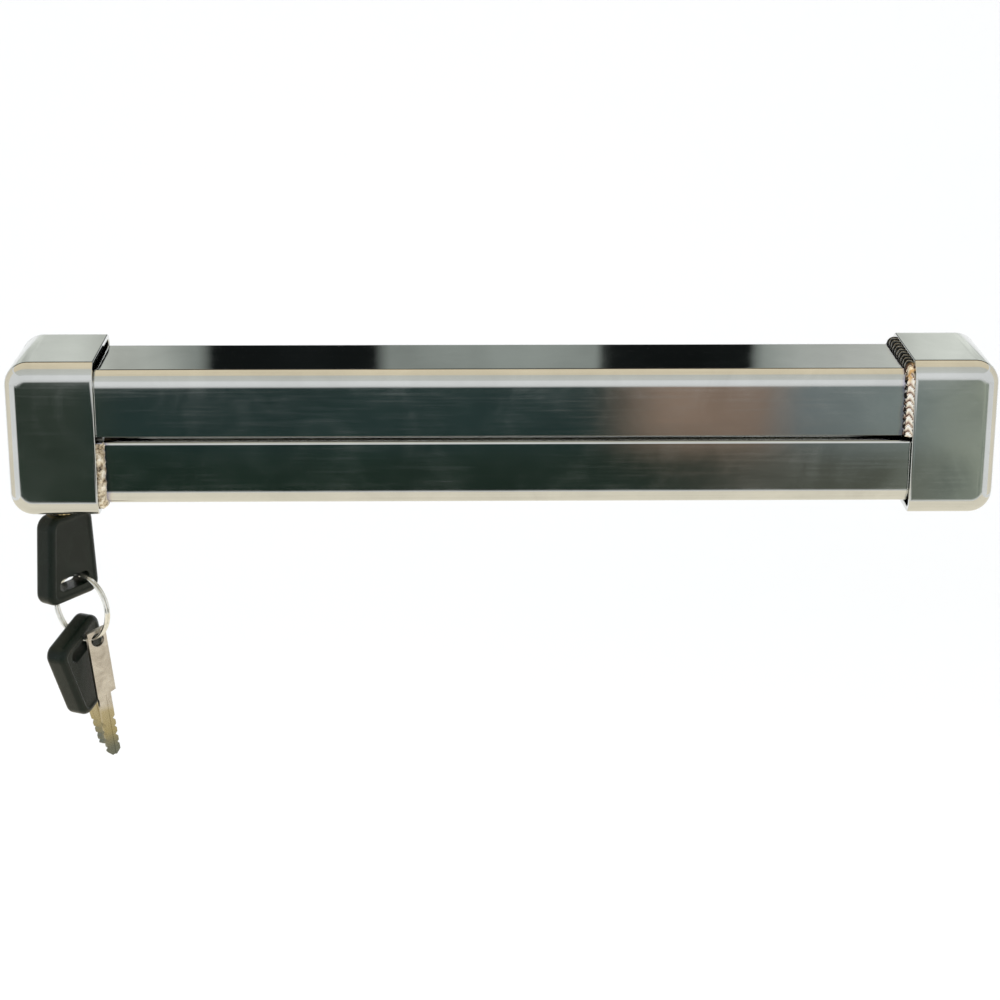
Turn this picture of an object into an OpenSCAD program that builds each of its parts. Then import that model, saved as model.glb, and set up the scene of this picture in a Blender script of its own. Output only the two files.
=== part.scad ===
// Clamp lock for an outboard motor: two welded stainless halves slide into each
// other over the motor's clamp-screw handles, and a cam lock holds them closed.
// X runs along the bar, the closed front faces -Y, the slotted back is at y = 0.

/* [Bar] */
// Overall length of the closed lock
lock_length = 365; // [330:1:400]
// Height of the bar that covers the clamp handles
bar_height = 51; // [48:0.5:54]
// Depth of the bar, front to back
bar_depth = 44.6; // [40:0.2:45]
// Sheet thickness of the two channels
channel_wall = 2.5; // [2:0.1:3]
// Outer bend radius of the channels
channel_bend = 5; // [4:0.5:7]
// Gap between the two channels along the front
front_slit = 2; // [1:0.5:4]
// Height of the slot at the back for the clamp screws
back_slot = 22; // [18:1:26]

/* [End boxes] */
// Height of an end box
box_height = 58.4; // [58:0.2:62]
// Depth of an end box, front to back
box_depth = 51; // [50:0.5:54]
// Width of the left end box, which holds the lock
left_box_width = 32.8; // [31:0.2:40]
// Width of the right end box
right_box_width = 31.6; // [31:0.2:40]
// Sheet thickness of the end boxes
box_wall = 2; // [1.6:0.1:2.2]
// Outer corner radius of the end boxes
box_round = 5.5; // [4:0.5:7]

/* [Travel] */
// How far a channel's free end stands inside the other half's box
engagement = 28; // [24:0.5:28.5]
// How far a channel's welded end reaches into its own box
weld_lap = 4.2; // [3:0.1:5]

/* [Lock cylinder] */
// Distance from the left end of the lock to the key axis
key_axis_inset = 15.8; // [15:0.2:18]
// Diameter of the cylinder's head below the box
head_diameter = 14.5; // [14:0.5:18]
// Height of the cylinder's head
head_height = 5.2; // [4:0.1:6]
// Diameter of the cylinder's threaded body
body_diameter = 13; // [12.8:0.1:13.2]
// Diameter of the plug that the key turns
plug_diameter = 9.6; // [9.4:0.1:9.8]
// Radial clearance between the plug and its bore
plug_fit = 0.05; // [0.03:0.01:0.1]
// Number of wafers in the plug
wafer_count = 5; // [3:1:6]
// Length of the cam from its axis to its nose
cam_reach = 16.5; // [15:0.5:17.5]

/* [Keys] */
// Turn of the key about its axis, seen from above
key_turn = 55.7; // [30:0.1:70]
// Height of the plastic key head
key_head_height = 35; // [32:0.5:37]
// Width of the key head at its wide end
key_head_width = 28; // [26:0.5:32]
// Thickness of the key head
key_head_thick = 8.6; // [6:0.1:9]
// Width of a key blade
blade_width = 6; // [5.6:0.1:6.2]
// Thickness of a key blade
blade_thick = 1.9; // [1.6:0.1:2]
// Length of a key blade
blade_length = 23; // [20:0.5:24]
// Mean radius of the split ring
ring_radius = 13.1; // [12.5:0.1:13.5]
// Wire diameter of the split ring
ring_wire = 1.3; // [1:0.1:1.4]

/* [Hidden] */
$fn = 48;

half_length = lock_length / 2;
left_rim = left_box_width - half_length;
right_rim = half_length - right_box_width;
mid_y = -box_depth / 2;
bar_front = mid_y - bar_depth / 2;
bar_back = mid_y + bar_depth / 2;
inner_bend = channel_bend - channel_wall;
cut = 1;

weld_leg = 3.6;
weld_rise = 2.9;
weld_seat = 0.04;
bead_steps = 5;
bead_ripple = 2.2;
bead_valley = 0.82;
bead_low = bar_height / 2 - channel_bend;
bead_front = bead_low - front_slit / 2;
bead_turn = PI / 2 * channel_bend;
bead_under = bar_depth - 2 * channel_bend;
bead_lip = bead_low - back_slot / 2;
bead_length = bead_front + 2 * bead_turn + bead_under + bead_lip;
bead_rings = 2 * round(bead_length / bead_ripple);

lock_x = key_axis_inset - half_length;
floor_out = -box_height / 2;
floor_in = floor_out + box_wall;
head_face = floor_out - head_height;
body_top = -8.5;
rim_top = body_top + 1;
plug_r = plug_diameter / 2;
plug_top = body_top + 0.1;
flange_r = plug_r + 0.8;
flange_high = 1.2;
flange_clear = 0.1;
body_r = body_diameter / 2;
body_hole_clear = 0.1;
thread_clear = 0.02;
washer_thick = 1;
washer_r = 9;
nut_flats = 17;
nut_height = 3.5;

tenon = 6;
tenon_clear = 0.1;
stop_thick = 0.8;
stop_disc_r = 5.2;
stop_tab_r = 6.3;
stop_tab_angle = 30;
stop_rim_r = 5.5;
stop_turn = 90;
stop_clear = 3;
cam_bottom = plug_top + stop_thick + 0.3;
cam_thick = 2;
cam_hub_r = 7;
cam_width = 7;
cam_chamfer = 1.5;
cam_washer_r = 5;
cam_washer_thick = 0.8;
screw_r = 2;
screw_depth = 6;
screw_head_flats = 7;
screw_head_height = 2.8;
screw_tip_clear = 0.5;

keeper_gap = 0.8;
keeper_width = 6;
keeper_depth = 6.3;
keeper_bottom = -12;
keeper_top = 18;
keeper_weld_leg = 2;

key_clear = 0.2;
keyway_end = head_face + blade_length + 1;
wafer_thick = 1;
wafer_slot = 1.3;
wafer_long = 7.6;
wafer_wide = 4.2;
wafer_pitch = 3.5;
wafer_first = head_face + 5;
spring_r = 0.65;
spring_bore = 0.4;
spring_long = 3;
spring_offset = 3.15;

notch_shallow = 1.1;
notch_deep = 1.43;
notch_first = 2.2;

key_head_gap = 0.3;
key_head_top = head_face - key_head_gap;
head_taper = 0.82;
head_narrow = head_taper * key_head_width;
head_corner = 5;
head_slot = 5;
head_slot_long = 16;
head_bar = 4.8;
slot_mid = head_bar + head_slot / 2 - key_head_height;
tang_depth = 12;

ring_pitch = ring_wire * 1.06;
ring_offset = 4.2;
ring_side = 2.6;
ring_clear = 0.45;
ring_rest = ring_clear + ring_wire / 2;
face_far = key_head_thick / 2 + ring_offset;
ring_mid_z = key_head_top - key_head_height + head_bar + ring_rest
  - sqrt(ring_radius * ring_radius - face_far * face_far);
ring_sides = 8;
ring_steps = 64;

key_b_lean = 21;
key_b_twist = 9;
key_b_along = 3;
key_b_end = 4.8;
key_b_rest = 2.65;
key_c_along = 11;
key_c_turn = 35;
key_c_lean = 7;
key_c_rest = 2;
bow_width = 8;
bow_length = 29;
bow_thick = 1.8;
bow_hole_r = 2.7;
bow_hole_down = 4.6;
bow_slope = 1;
bow_step = 2;
bow_blade = 5.4;
bow_blade_inset = 0.3;
bow_blade_length = 25;
bow_tang = 1;

// Height of the ring's wire below its own middle, at a distance along the key's normal
function ring_low(along) =
  ring_mid_z - sqrt(ring_radius * ring_radius - (along - ring_offset) * (along - ring_offset));

// Turns a profile drawn in Y and Z into a bar that runs along X
module along_x(from, to) {
  translate([from, 0, 0]) rotate([90, 0, 90]) linear_extrude(to - from) children();
}

module round_rect(wide, high, r) {
  square([wide - 2 * r, high], center = true);
  square([wide, high - 2 * r], center = true);
  for (sx = [-1, 1], sy = [-1, 1])
    translate([sx * (wide / 2 - r), sy * (high / 2 - r)]) circle(r);
}

// A block closed by rounded corners at its outer end, open end at x = 0, running to -X
module end_block(long, deep, high, r) {
  intersection() {
    along_x(-long, cut) round_rect(deep, high, r);
    linear_extrude(high + cut, center = true) round_rect(2 * long, deep, r);
    rotate([90, 0, 0]) linear_extrude(deep + cut, center = true) round_rect(2 * long, high, r);
  }
}

// A folded end box with its open side at x = 0 and its end wall at -X
module end_box(wide) {
  translate([0, mid_y, 0]) difference() {
    end_block(wide, box_depth, box_height, box_round);
    end_block(wide - box_wall, box_depth - 2 * box_wall, box_height - 2 * box_wall, box_round - box_wall);
    translate([0, -box_depth, -box_height]) cube([2 * cut, 2 * box_depth, 2 * box_height]);
  }
}

// Section of the lower channel: front wall, floor and a short lip up the back
module channel_section() {
  translate([mid_y, 0]) difference() {
    round_rect(bar_depth, bar_height, channel_bend);
    round_rect(bar_depth - 2 * channel_wall, bar_height - 2 * channel_wall, inner_bend);
    translate([-bar_depth, -front_slit / 2]) square([bar_depth, bar_height]);
    translate([-cut, -back_slot / 2]) square([bar_depth, bar_height]);
  }
}

function within(x, top) = min(max(x, 0), top);

// Angle of the channel's outward normal from -Y, a distance s along the weld
function bead_angle(s) = 90 * (within(s - bead_front, bead_turn)
  + within(s - bead_length + bead_lip + bead_turn, bead_turn)) / bead_turn;

// One section of the weld: a rounded triangle on the rim and the channel, smaller between ripples
function bead_section(s, scale) = let (
  turn = bead_angle(s),
  y = bar_front + channel_bend + within(s - bead_front - bead_turn, bead_under),
  z = within(s - bead_length + bead_lip, bead_lip) - front_slit / 2 - within(s, bead_front)
) [for (i = [-1:bead_steps]) let (
    a = 90 * i / bead_steps,
    out = i < 0 ? 0 : scale * weld_rise * sin(a),
    reach = channel_bend + weld_seat + out
  ) [i < 0 ? 0 : scale * weld_leg * cos(a), y - reach * cos(turn), z - reach * sin(turn)]];

// Fillet weld in the corner between a box's rim at x = 0 and its lower channel, which runs to +X.
// It starts at the front slit, goes round the bottom and ends at the top of the back lip.
module weld_run() {
  sides = bead_steps + 2;
  last = bead_rings * sides;
  polyhedron(
    points = [for (i = [0:bead_rings])
      each bead_section(bead_length * i / bead_rings, i % 2 == 0 ? bead_valley : 1)],
    faces = concat(
      [[for (j = [0:sides - 1]) j]],
      [for (i = [0:bead_rings - 1], j = [0:sides - 1]) let (k = (j + 1) % sides, a = i * sides)
        [a + j, a + sides + j, a + sides + k, a + k]],
      [[for (j = [sides - 1:-1:0]) last + j]]
    ));
}

module at_lock() {
  translate([lock_x, mid_y, 0]) children();
}

module at_key() {
  at_lock() rotate([0, 0, key_turn]) children();
}

// Places a point of key B's slot on the lowest part of the ring
module at_key_b() {
  at_key() translate([ring_side, -key_b_along, ring_low(key_b_along)]) rotate([0, 180 - key_b_lean, key_b_twist])
    translate([key_b_end, 0, -(slot_mid - head_slot / 2 + key_b_rest)]) children();
}

module left_end_box() {
  color("#8f9693") difference() {
    translate([left_rim, 0, 0]) end_box(left_box_width);
    at_lock() translate([0, 0, floor_out - cut])
      cylinder(h = box_wall + 2 * cut, r = body_r + body_hole_clear);
  }
}

module right_end_box() {
  color("#8f9693") translate([right_rim, 0, 0]) mirror([1, 0, 0]) end_box(right_box_width);
}

module lower_channel() {
  color("#5f6a69") along_x(left_rim - weld_lap, right_rim + engagement) channel_section();
}

module upper_channel() {
  color("#5f6a69") mirror([0, 0, 1]) along_x(left_rim - engagement, right_rim + weld_lap) channel_section();
}

module left_weld_bead() {
  color("#c9c0ae") translate([left_rim, 0, 0]) weld_run();
}

module right_weld_bead() {
  color("#a99c86") translate([right_rim, 0, 0]) mirror([1, 0, 0]) mirror([0, 0, 1]) weld_run();
}

module lock_housing() {
  color("#b9975a") at_lock() difference() {
    union() {
      translate([0, 0, head_face]) cylinder(h = 1, r1 = head_diameter / 2 - 1, r2 = head_diameter / 2);
      translate([0, 0, head_face + 1]) cylinder(h = head_height - 1, r = head_diameter / 2);
      translate([0, 0, floor_out]) cylinder(h = body_top - floor_out, r = body_r);
      rotate([0, 0, stop_tab_angle / 2 + stop_clear])
        rotate_extrude(angle = 360 - stop_turn - stop_tab_angle - 2 * stop_clear)
          translate([stop_rim_r, body_top - cut]) square([body_r - stop_rim_r, rim_top - body_top + cut]);
    }
    translate([0, 0, head_face - cut]) cylinder(h = body_top - head_face + 2 * cut, r = plug_r + plug_fit);
    translate([0, 0, head_face - cut])
      cylinder(h = flange_high + flange_clear + cut, r = flange_r + flange_clear);
  }
}

module spur_washer() {
  color("#b8bab6") at_lock() translate([0, 0, floor_in]) difference() {
    cylinder(h = washer_thick, r = washer_r);
    translate([0, 0, -cut]) cylinder(h = washer_thick + 2 * cut, r = body_r + body_hole_clear);
  }
}

module housing_nut() {
  color("#b9975a") at_lock() translate([0, 0, floor_in + washer_thick]) difference() {
    cylinder(h = nut_height, r = nut_flats / sqrt(3), $fn = 6);
    translate([0, 0, -cut]) cylinder(h = nut_height + 2 * cut, r = body_r + thread_clear);
  }
}

// Where each wafer lies along the plug
module at_wafers() {
  for (i = [0:wafer_count - 1]) translate([0, 0, wafer_first + i * wafer_pitch]) children();
}

module lock_plug() {
  color("#c9a45c") at_key() difference() {
    union() {
      translate([0, 0, head_face]) cylinder(h = flange_high, r = flange_r);
      translate([0, 0, head_face]) cylinder(h = plug_top - head_face, r = plug_r);
      rotate([0, 0, -key_turn]) translate([-tenon / 2, -tenon / 2, plug_top - cut])
        cube([tenon, tenon, cam_bottom + cam_thick - plug_top + cut]);
    }
    translate([0, 0, (head_face + keyway_end) / 2]) cube([blade_width + 2 * key_clear,
      blade_thick + 2 * key_clear, keyway_end - head_face + 2 * cut], center = true);
    at_wafers() cube([wafer_long + key_clear, wafer_wide + key_clear, wafer_slot], center = true);
    at_wafers() translate([0, spring_offset, 0]) rotate([0, 90, 0])
      cylinder(h = spring_long + key_clear, r = spring_r + key_clear / 2, center = true);
    translate([0, 0, cam_bottom + cam_thick - screw_depth]) cylinder(h = screw_depth + cut, r = screw_r);
  }
}

module wafers() {
  color("#d0b070") at_key() at_wafers() difference() {
    cube([wafer_long, wafer_wide, wafer_thick], center = true);
    cube([blade_width + 1.5 * key_clear, blade_thick + 1.5 * key_clear, wafer_thick + cut], center = true);
  }
}

module wafer_springs() {
  color("#c8c8c8") at_key() at_wafers() translate([0, spring_offset, 0]) rotate([0, 90, 0]) difference() {
    cylinder(h = spring_long, r = spring_r, center = true);
    cylinder(h = spring_long + cut, r = spring_bore, center = true);
  }
}

module stop_washer() {
  color("#b8bab6") at_lock() translate([0, 0, plug_top]) difference() {
    union() {
      cylinder(h = stop_thick, r = stop_disc_r);
      rotate([0, 0, -stop_tab_angle / 2]) rotate_extrude(angle = stop_tab_angle)
        translate([tenon / 2, 0]) square([stop_tab_r - tenon / 2, stop_thick]);
    }
    square_hole(stop_thick);
  }
}

// Square hole that rides on the plug's tenon
module square_hole(thick) {
  side = tenon + 2 * tenon_clear;
  translate([-side / 2, -side / 2, -cut]) cube([side, side, thick + 2 * cut]);
}

module cam() {
  color("#a9aca8") at_lock() translate([0, 0, cam_bottom]) difference() {
    union() {
      cylinder(h = cam_thick, r = cam_hub_r);
      linear_extrude(cam_thick) polygon([
        [0, -cam_width / 2], [cam_reach - cam_chamfer, -cam_width / 2],
        [cam_reach, cam_chamfer - cam_width / 2], [cam_reach, cam_width / 2 - cam_chamfer],
        [cam_reach - cam_chamfer, cam_width / 2], [0, cam_width / 2]
      ]);
    }
    square_hole(cam_thick);
  }
}

module cam_washer() {
  color("#b8bab6") at_lock() translate([0, 0, cam_bottom + cam_thick]) difference() {
    cylinder(h = cam_washer_thick, r = cam_washer_r);
    translate([0, 0, -cut]) cylinder(h = cam_washer_thick + 2 * cut, r = screw_r + body_hole_clear);
  }
}

module cam_screw() {
  color("#9a9d99") at_lock() translate([0, 0, cam_bottom + cam_thick]) {
    translate([0, 0, cam_washer_thick]) cylinder(h = screw_head_height, r = screw_head_flats / sqrt(3), $fn = 6);
    translate([0, 0, screw_tip_clear - screw_depth])
      cylinder(h = screw_depth + cam_washer_thick, r = screw_r - thread_clear);
  }
}

// Bar that the cam's nose catches, welded inside the front wall of the upper channel
module keeper_bar() {
  color("#8f9693") translate([lock_x - cam_width / 2 - keeper_gap - keeper_width, bar_front + channel_wall,
    keeper_bottom]) cube([keeper_width, keeper_depth, keeper_top - keeper_bottom]);
}

module keeper_weld() {
  base = front_slit / 2;
  color("#a99c86") translate([lock_x - cam_width / 2 - keeper_gap, bar_front + channel_wall, base])
    for (side = [0, 1]) translate([-side * keeper_width, 0, 0]) mirror([side, 0, 0])
      linear_extrude(keeper_top - base) polygon([[0, 0], [keeper_weld_leg, 0], [0, keeper_weld_leg]]);
}

// Outline of a key head hanging from z = 0, wide end down, drawn in X and Z
module head_outline() {
  r = head_corner;
  low = r - key_head_height;
  hull() {
    for (s = [-1, 1]) {
      translate([s * (head_narrow / 2 - r), -r]) circle(r);
      translate([s * (key_head_width / 2 - r), low]) circle(r);
    }
  }
}

module head_slot_outline() {
  straight = head_slot_long - head_slot;
  translate([0, slot_mid]) {
    square([straight, head_slot], center = true);
    for (s = [-1, 1]) translate([s * straight / 2, 0]) circle(head_slot / 2);
  }
}

// Moulded head with a ring slot and a socket for the blade's tang
module key_head() {
  difference() {
    rotate([90, 0, 0]) linear_extrude(key_head_thick, center = true) head_outline();
    rotate([90, 0, 0]) linear_extrude(key_head_thick + cut, center = true) head_slot_outline();
    translate([-blade_width / 2, -blade_thick / 2, -tang_depth])
      cube([blade_width, blade_thick, tang_depth + cut]);
  }
}

// Blade rising from the head, cut on both edges, with its tang below z = 0
module key_blade(wide, thick, long, tang) {
  straight = long - wide / 3;
  difference() {
    rotate([90, 0, 0]) linear_extrude(thick, center = true) polygon([
      [-wide / 2, -tang], [wide / 2, -tang], [wide / 2, straight],
      [wide / 6, long], [-wide / 6, long], [-wide / 2, straight]
    ]);
    for (s = [-1, 1], i = [0:3])
      let (notch = i % 2 == 0 ? notch_shallow : notch_deep)
        translate([s * wide / 2, 0, straight - notch_first - i * wafer_pitch + s * wafer_pitch / 4])
          rotate([0, 45, 0]) cube([notch, 2 * thick, notch], center = true);
    for (s = [-1, 1]) translate([0, s * thick / 2, key_head_gap + long / 2])
      cube([wide / 5, thick / 3, long], center = true);
  }
}

module key_a_blade() {
  color("#d3c48f") at_key() translate([0, 0, key_head_top])
    key_blade(blade_width, blade_thick, blade_length, tang_depth);
}

module key_a_head() {
  color("#1d1f1f") at_key() translate([0, 0, key_head_top]) key_head();
}

module key_b_blade() {
  color("#d3c48f") at_key_b() key_blade(blade_width, blade_thick, blade_length, tang_depth);
}

module key_b_head() {
  color("#1d1f1f") at_key_b() key_head();
}

// Points of one cross-section of the ring's wire at the given turn
function wire_section(turn) = [for (j = [0:ring_sides - 1])
  let (a = 360 * j / ring_sides, r = ring_radius + ring_wire / 2 * cos(a))
    [r * cos(turn), r * sin(turn), ring_wire / 2 * sin(a) + ring_pitch * (turn / 360 - 1)]];

// Double coil of wire, its axis along the width of key A's head and its ends at the top
module split_ring() {
  last = ring_steps * ring_sides;
  color("#c9ccca") at_key() translate([ring_side, -ring_offset, ring_mid_z]) rotate([0, -90, 0]) polyhedron(
    points = [for (i = [0:ring_steps]) each wire_section(720 * i / ring_steps)],
    faces = concat(
      [[for (j = [ring_sides - 1:-1:0]) j]],
      [for (i = [0:ring_steps - 1], j = [0:ring_sides - 1]) let (k = (j + 1) % ring_sides, a = i * ring_sides)
        [a + j, a + k, a + ring_sides + k, a + ring_sides + j]],
      [[for (j = [0:ring_sides - 1]) last + j]]
    ));
}

// Spare key without a plastic head, its hole round the ring
module bare_key() {
  shoulder = bow_length - bow_hole_down;
  color("#cfc9b4") at_key() translate([ring_side, -key_c_along, ring_low(key_c_along)])
    rotate([0, 0, key_c_turn - key_turn]) rotate([0, 180 - key_c_lean, 0])
      translate([0, 0, bow_hole_r - key_c_rest]) {
        difference() {
          rotate([90, 0, 0]) linear_extrude(bow_thick, center = true) polygon([
            [-bow_width / 2, -bow_hole_down], [bow_width / 2, bow_slope - bow_hole_down],
            [bow_width / 2, shoulder], [-bow_width / 2, shoulder - bow_step]
          ]);
          rotate([90, 0, 0]) cylinder(h = 2 * bow_thick, r = bow_hole_r, center = true);
        }
        translate([(bow_width - bow_blade) / 2 - bow_blade_inset, 0, shoulder - bow_step])
          key_blade(bow_blade, bow_thick, bow_blade_length + bow_step, bow_tang);
      }
}

left_end_box();
lower_channel();
left_weld_bead();
lock_housing();
spur_washer();
housing_nut();
lock_plug();
wafers();
wafer_springs();
stop_washer();
cam();
cam_washer();
cam_screw();
right_end_box();
upper_channel();
right_weld_bead();
keeper_bar();
keeper_weld();
key_a_blade();
key_a_head();
split_ring();
key_b_blade();
key_b_head();
bare_key();
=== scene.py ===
"""Clamp lock for an outboard motor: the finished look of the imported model."""

import math

import bmesh
import bpy
from mathutils import Matrix, Vector, noise


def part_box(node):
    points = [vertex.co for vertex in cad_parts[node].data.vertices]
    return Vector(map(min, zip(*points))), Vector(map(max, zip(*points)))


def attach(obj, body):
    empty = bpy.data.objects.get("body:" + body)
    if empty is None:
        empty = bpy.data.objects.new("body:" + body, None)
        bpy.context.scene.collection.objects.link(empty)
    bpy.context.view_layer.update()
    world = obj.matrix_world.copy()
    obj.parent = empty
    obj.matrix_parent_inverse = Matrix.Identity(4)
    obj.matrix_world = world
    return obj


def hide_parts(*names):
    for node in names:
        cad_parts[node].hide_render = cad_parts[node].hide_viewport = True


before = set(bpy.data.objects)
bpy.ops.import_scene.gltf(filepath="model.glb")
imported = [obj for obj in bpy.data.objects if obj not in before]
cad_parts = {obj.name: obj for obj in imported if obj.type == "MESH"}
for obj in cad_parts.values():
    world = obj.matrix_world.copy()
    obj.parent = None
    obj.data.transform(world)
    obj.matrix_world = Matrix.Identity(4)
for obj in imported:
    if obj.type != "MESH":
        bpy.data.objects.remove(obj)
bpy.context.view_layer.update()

MM = 0.001
scene = bpy.context.scene

# ---------------------------------------------------------------- sizes, from the frame

LEFT_LOW, LEFT_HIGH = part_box("left_end_box")
RIGHT_LOW, RIGHT_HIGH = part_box("right_end_box")
UPPER_LOW, UPPER_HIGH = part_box("upper_channel")
LOWER_LOW, LOWER_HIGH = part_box("lower_channel")
HOUSING_LOW, HOUSING_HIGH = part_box("lock_housing")
SPARE_LOW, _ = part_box("bare_key")
LEFT_RIM = LEFT_HIGH.x
RIGHT_RIM = RIGHT_LOW.x
BAR_FRONT = UPPER_LOW.y
BAR_BACK = UPPER_HIGH.y
BAR_TOP = UPPER_HIGH.z
HALF_SLIT = UPPER_LOW.z
HALF_BACK_SLOT = 11 * MM

BOX_WALL = 2 * MM
BOX_ROUND = 5.5 * MM
BOX_CORNER = 8.5 * MM
CHANNEL_WALL = 2.5 * MM
CHANNEL_BEND = 5 * MM
SHEET_EDGE = 0.45 * MM
KEEPER_PLAY = 0.06 * MM
SLIT_EDGE = 1.1 * MM
UPPER_EDGE = 0.08 * MM
PANEL_STEP = 1.2 * MM

WELD_LEG = 3.6 * MM
WELD_RISE = 2.9 * MM
RIPPLE = 2.9 * MM
TOP_RIPPLE = 4.2 * MM
BEAD_ROWS = 420
BEAD_ACROSS = 12

KEY_TURN = math.radians(55.7)
KEY_TOP = HOUSING_LOW.z - 0.3 * MM
HEAD_HIGH = 35 * MM
HEAD_WIDE = 28 * MM
HEAD_TAPER = 0.82
HEAD_THICK = 8.6 * MM
HEAD_CORNER = 5 * MM
HEAD_EDGE = 2.2 * MM
HEAD_RIM = 0.5 * MM
HEAD_SLOPE = 0.4 * MM
HEAD_SUNK = 0.35 * MM
HEAD_BAR = 4.8 * MM
SLOT_HIGH = 5 * MM
SLOT_LONG = 16 * MM

RING_RADIUS = 13.1 * MM
RING_WIRE = 1.3 * MM
RING_WIRE_RADIUS = RING_WIRE * 0.48
RING_SPACING = RING_WIRE * 1.06
RING_FULL_TURN = 325
RING_CROSSING = 60
RING_STEP = 5
RING_ROLL = math.radians(8)
RING_OFFSET = 4.2 * MM
RING_SIDE = 2.6 * MM
RING_REST = 0.45 * MM + RING_WIRE / 2
KEY_B_LEAN = math.radians(21)
KEY_B_TWIST = math.radians(9)
KEY_B_ALONG = 3 * MM
KEY_B_END = 4.8 * MM
KEY_B_REST = 2.65 * MM

CARD_FRONT = -0.9
CARD_GROUND = -0.4
CARD_SIDE = 0.9
CARD_CEILING = 1.0
CARD_BACK = 0.3


# ---------------------------------------------------------------- mesh helpers

def finished(name, bm, material, body, node=None, edge=0.0, sharp=35, pillowed=False):
    """Turns a bmesh into a piece that rides on a body and stands for a CAD node."""
    if pillowed:
        for line in bm.edges:
            line.smooth = line.calc_face_angle(0) < math.radians(sharp)
    mesh = bpy.data.meshes.new(name)
    bm.to_mesh(mesh)
    bm.free()
    mesh.polygons.foreach_set("use_smooth", [True] * len(mesh.polygons))
    mesh.materials.append(material)
    piece = bpy.data.objects.new(name, mesh)
    scene.collection.objects.link(piece)
    if edge > 0:
        soften = piece.modifiers.new("softened edges", "BEVEL")
        soften.width = edge
        soften.segments = 3
        soften.limit_method = "ANGLE"
        soften.angle_limit = math.radians(sharp)
        soften.use_clamp_overlap = True
        soften.harden_normals = pillowed
        if not pillowed:
            flat = piece.modifiers.new("flat faces stay flat", "WEIGHTED_NORMAL")
            flat.mode = "FACE_AREA"
            flat.weight = 90
    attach(piece, body)
    if node:
        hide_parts(node)
    return piece


def softened(node, material, body, edge=0.2 * MM, sharp=30, name=None):
    """A copy of a CAD node with its sharp edges broken, in place of the node."""
    bm = bmesh.new()
    bm.from_mesh(bpy.data.objects[node].data)
    bmesh.ops.remove_doubles(bm, verts=bm.verts, dist=0.001 * MM)
    bmesh.ops.dissolve_limit(bm, angle_limit=math.radians(1), verts=bm.verts, edges=bm.edges)
    return finished(name or node + "_piece", bm, material, body, node, edge, sharp)


def block(low, high):
    """A closed block between two corners."""
    bm = bmesh.new()
    bmesh.ops.create_cube(bm, size=1)
    bmesh.ops.scale(bm, vec=Vector(high) - Vector(low), verts=bm.verts)
    bmesh.ops.translate(bm, vec=(Vector(high) + Vector(low)) / 2, verts=bm.verts)
    return bm


def edges_along(bm, axis, test=lambda middle: True):
    """Edges that run along one axis and whose middle passes the test."""
    found = []
    for edge in bm.edges:
        way = (edge.verts[1].co - edge.verts[0].co).normalized()
        if abs(way[axis]) > 0.99 and test((edge.verts[0].co + edge.verts[1].co) / 2):
            found.append(edge)
    return found


def round_edges(bm, edges, radius, segments):
    bmesh.ops.bevel(bm, geom=edges, offset=radius, offset_type="OFFSET", segments=segments,
                    profile=0.5, affect="EDGES", clamp_overlap=True, material=-1)


def thicken(bm, wall):
    """Gives an open skin its thickness, inwards."""
    bmesh.ops.recalc_face_normals(bm, faces=bm.faces)
    bmesh.ops.solidify(bm, geom=bm.faces[:], thickness=wall)


def frame_panels(bm):
    """A narrow frame round each flat panel, so that its shading turns softly into the bends."""
    bm.normal_update()
    panels = [face for face in bm.faces if max(abs(part) for part in face.normal) > 0.999]
    bmesh.ops.inset_individual(bm, faces=panels, thickness=PANEL_STEP, use_even_offset=True)


def drop_faces(bm, test):
    bmesh.ops.delete(bm, geom=[face for face in bm.faces if test(face)], context="FACES")


# ---------------------------------------------------------------- material helpers

def new_material(name):
    material = bpy.data.materials.new(name)
    material.use_nodes = True
    tree = material.node_tree
    tree.nodes.clear()
    return material, tree


def add(tree, kind, **settings):
    node = tree.nodes.new(kind)
    for key, value in settings.items():
        setattr(node, key, value)
    return node


def ramp(tree, source, stops):
    """A colour ramp fed by a value: stops are (place, (r, g, b))."""
    node = add(tree, "ShaderNodeValToRGB")
    while len(node.color_ramp.elements) < len(stops):
        node.color_ramp.elements.new(0.5)
    for element, (place, colour) in zip(node.color_ramp.elements, stops):
        element.position = place
        element.color = (*colour, 1)
    tree.links.new(source, node.inputs["Fac"])
    return node.outputs["Color"]


def maths(tree, operation, first, second=None):
    node = add(tree, "ShaderNodeMath", operation=operation)
    for socket, value in zip(node.inputs, (first, second)):
        if isinstance(value, (int, float)):
            socket.default_value = value
        elif value is not None:
            tree.links.new(value, socket)
    return node.outputs[0]


def stretch(tree, value, low, high, to_low=0.0, to_high=1.0):
    """Maps a value smoothly from one range to another and clamps it."""
    node = add(tree, "ShaderNodeMapRange", interpolation_type="SMOOTHSTEP")
    tree.links.new(value, node.inputs["Value"])
    ends = (("From Min", low), ("From Max", high), ("To Min", to_low), ("To Max", to_high))
    for label, number in ends:
        node.inputs[label].default_value = number
    return node.outputs["Result"]


def mix_colour(tree, factor, a, b, blend="MIX"):
    node = add(tree, "ShaderNodeMix", data_type="RGBA", blend_type=blend)
    for socket, value in ((node.inputs[0], factor), (node.inputs[6], a), (node.inputs[7], b)):
        if isinstance(value, (int, float)):
            socket.default_value = value
        elif isinstance(value, tuple):
            socket.default_value = (*value, 1)
        else:
            tree.links.new(value, socket)
    return node.outputs[2]


def places(tree):
    """The object's own X, Y and Z, in metres."""
    place = add(tree, "ShaderNodeTexCoord")
    split = add(tree, "ShaderNodeSeparateXYZ")
    tree.links.new(place.outputs["Object"], split.inputs[0])
    return split.outputs


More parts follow.
